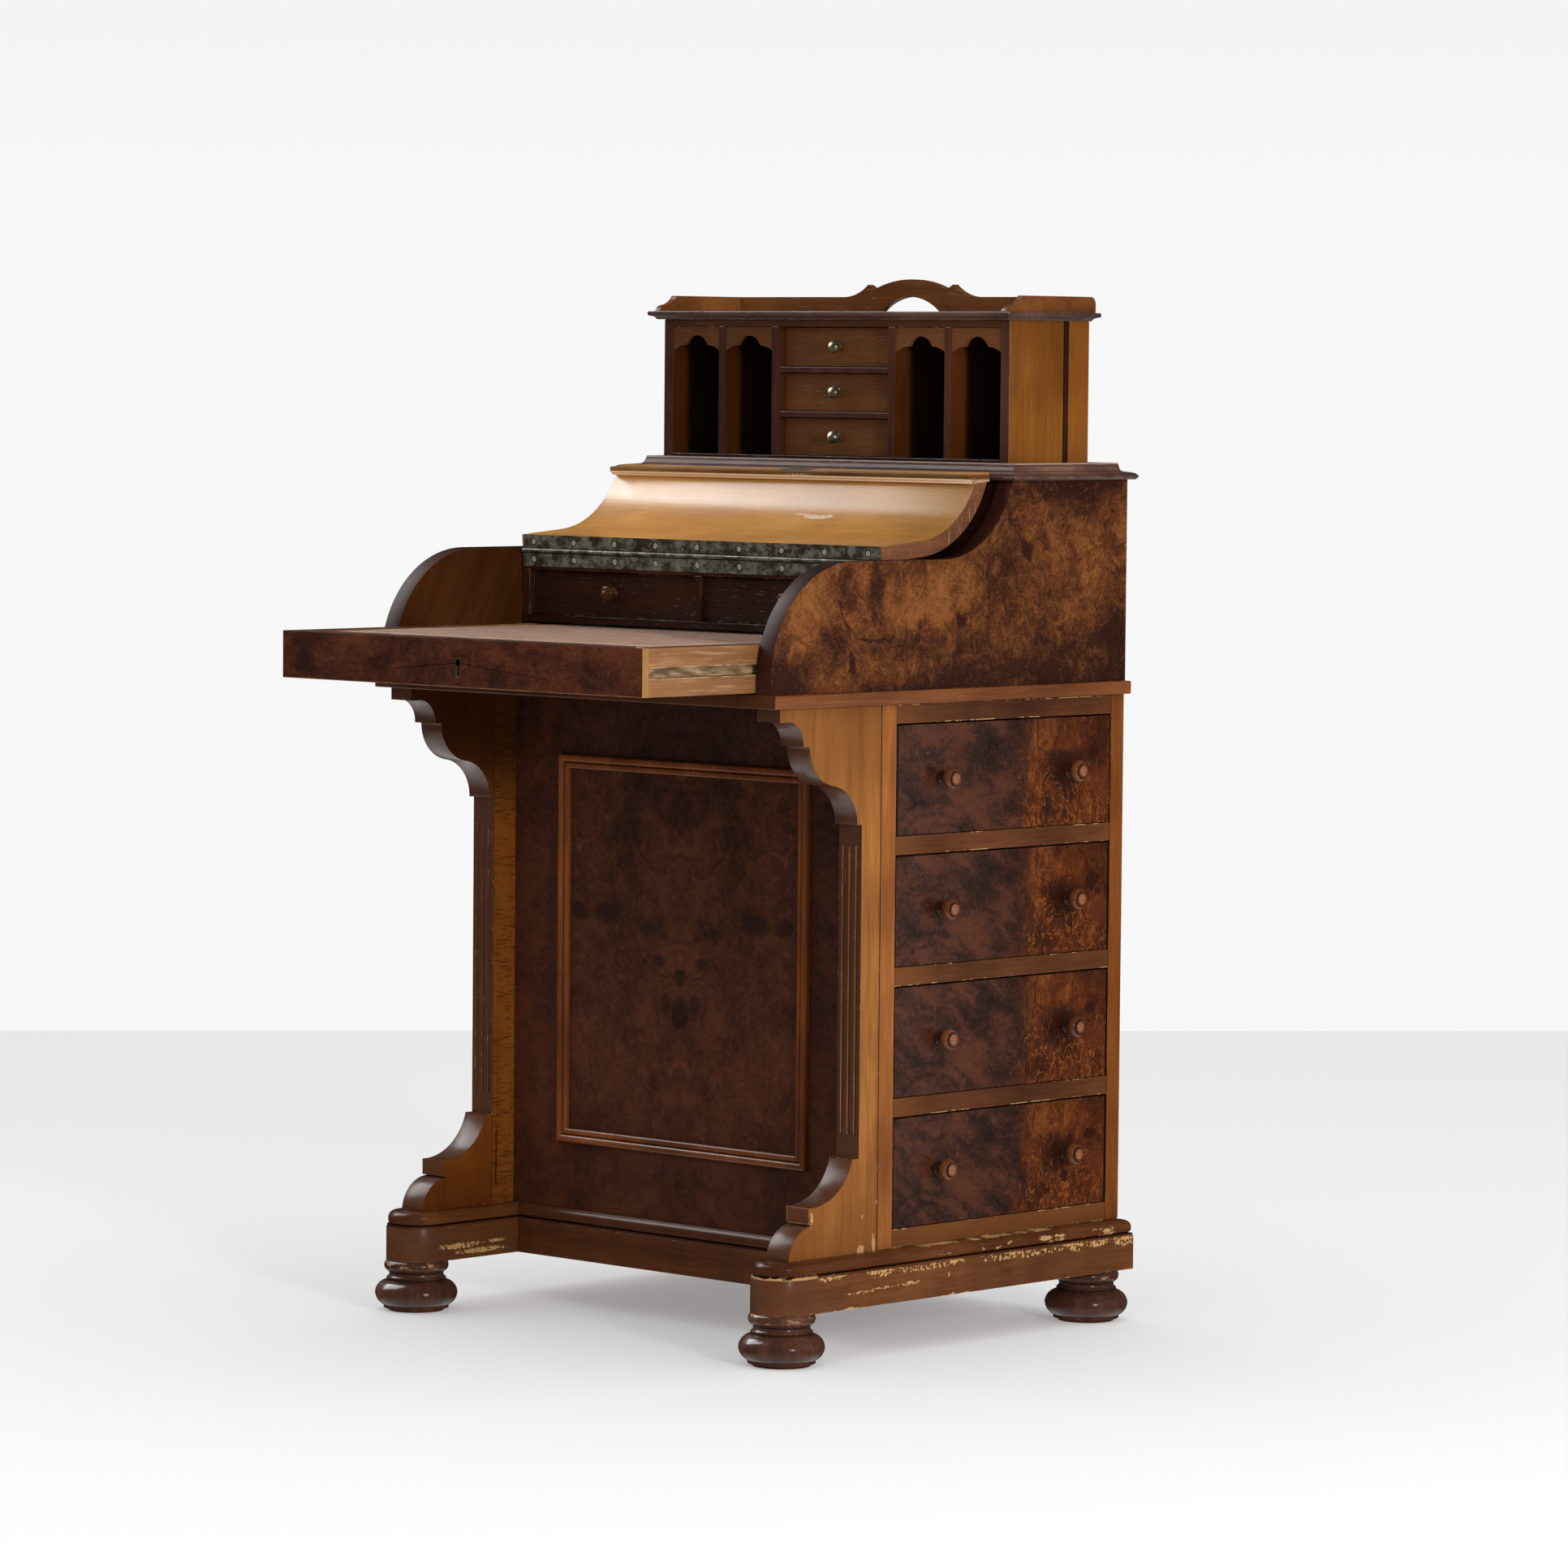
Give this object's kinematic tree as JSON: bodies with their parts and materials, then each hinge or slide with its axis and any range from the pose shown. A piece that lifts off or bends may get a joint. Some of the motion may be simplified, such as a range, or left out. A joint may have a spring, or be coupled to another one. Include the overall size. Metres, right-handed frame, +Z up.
{
  "type": "davenport desk",
  "caption": "Davenport desk with a pull-out writing slide, a curved folding lid, a rising till with pigeonholes, side drawers and a lockable slide, all joints working",
  "frame": {"origin": "on the floor under the middle of the desk's outer box, with the writing slide pulled out", "axes": "+X to the side with the drawers, +Y to the back, +Z up"},
  "size_m": [0.6399, 0.7294, 1.1268],
  "materials": {
    "burr_walnut": "polished",
    "drawer_walnut": "polished",
    "walnut": "polished",
    "dark_walnut": "polished, worn edges",
    "pale_wood": "waxed",
    "steel": "tarnished",
    "brass": "aged",
    "leather": "worn, gold line"
  },
  "bodies": {
    "carcass": {"bun_feet": "dark_walnut", "plinth_frame": "dark_walnut", "base_moulding": "dark_walnut", "wing_left": "walnut", "wing_right": "walnut", "knee_panel": "burr_walnut", "knee_moulding": "dark_walnut", "right_side_frame": "walnut", "left_side_frame": "walnut", "dummy_fronts": "drawer_walnut", "dummy_knobs": "dark_walnut", "pedestal_back": "walnut", "drawer_runners": "pale_wood", "cheek_left": "burr_walnut", "cheek_right": "burr_walnut", "desk_bed": "dark_walnut", "interior_floor": "dark_walnut", "interior_frame": "dark_walnut", "well_partition": "pale_wood", "upper_back": "walnut", "desk_top": "dark_walnut", "fixed_lid_panel": "walnut", "hinge_fixed_leaf": "steel", "hinge_pin": "steel", "till_guides": "pale_wood", "slide_runners": "pale_wood"},
    "slide": {"slide_front": "burr_walnut", "slide_rails": "pale_wood", "slide_top": "walnut", "slide_leather": "leather", "lock_case": "steel"},
    "bolt": {"lock_bolt": "steel"},
    "lid": {"lid_panel": "walnut", "lid_lipping": "pale_wood", "strike_plate": "steel", "hinge_lid_leaf": "steel"},
    "till": {"till_sides": "walnut", "till_top": "dark_walnut", "till_floor": "walnut", "till_back": "walnut", "till_partitions": "walnut", "till_valances": "dark_walnut", "gallery": "dark_walnut"},
    "pedestal_drawer_1": {"drawer_1": "drawer_walnut", "drawer_1_knobs": "dark_walnut"},
    "pedestal_drawer_2": {"drawer_2": "drawer_walnut", "drawer_2_knobs": "dark_walnut"},
    "pedestal_drawer_3": {"drawer_3": "drawer_walnut", "drawer_3_knobs": "dark_walnut"},
    "pedestal_drawer_4": {"drawer_4": "drawer_walnut", "drawer_4_knobs": "dark_walnut"},
    "inner_drawer_left": {"interior_drawer_left": "walnut"},
    "inner_drawer_right": {"interior_drawer_right": "walnut"},
    "small_drawer_top": {"till_drawer_top": "walnut", "till_drawer_top_knob": "brass"},
    "small_drawer_middle": {"till_drawer_middle": "walnut", "till_drawer_middle_knob": "brass"},
    "small_drawer_bottom": {"till_drawer_bottom": "walnut", "till_drawer_bottom_knob": "brass"}
  },
  "joints": [
    {"name": "writing_slide", "type": "slide", "parent": "carcass", "child": "slide", "axis": [0, -1, 0], "range_m": [-0.1635, 0.03]},
    {"name": "lid_hinge", "type": "hinge", "parent": "carcass", "child": "lid", "pos_m": [0, -0.01225, 0.826], "axis": [-1, 0, 0], "range_deg": [-175, 0]},
    {"name": "till_rise", "type": "slide", "parent": "carcass", "child": "till", "axis": [0, 0, 1], "range_m": [-0.149, 0]},
    {"name": "lock_bolt", "type": "slide", "parent": "slide", "child": "bolt", "axis": [0, 0, 1], "range_m": [0, 0.007]},
    {"name": "drawer_1_pull", "type": "slide", "parent": "carcass", "child": "pedestal_drawer_1", "axis": [1, 0, 0], "range_m": [0, 0.33]},
    {"name": "drawer_2_pull", "type": "slide", "parent": "carcass", "child": "pedestal_drawer_2", "axis": [1, 0, 0], "range_m": [0, 0.33]},
    {"name": "drawer_3_pull", "type": "slide", "parent": "carcass", "child": "pedestal_drawer_3", "axis": [1, 0, 0], "range_m": [0, 0.33]},
    {"name": "drawer_4_pull", "type": "slide", "parent": "carcass", "child": "pedestal_drawer_4", "axis": [1, 0, 0], "range_m": [0, 0.33]},
    {"name": "interior_drawer_left_pull", "type": "slide", "parent": "carcass", "child": "inner_drawer_left", "axis": [0, -1, 0], "range_m": [0, 0.12]},
    {"name": "interior_drawer_right_pull", "type": "slide", "parent": "carcass", "child": "inner_drawer_right", "axis": [0, -1, 0], "range_m": [0, 0.12]},
    {"name": "till_drawer_top_pull", "type": "slide", "parent": "till", "child": "small_drawer_top", "axis": [0, -1, 0], "range_m": [0, 0.075]},
    {"name": "till_drawer_middle_pull", "type": "slide", "parent": "till", "child": "small_drawer_middle", "axis": [0, -1, 0], "range_m": [0, 0.075]},
    {"name": "till_drawer_bottom_pull", "type": "slide", "parent": "till", "child": "small_drawer_bottom", "axis": [0, -1, 0], "range_m": [0, 0.075]}
  ]
}
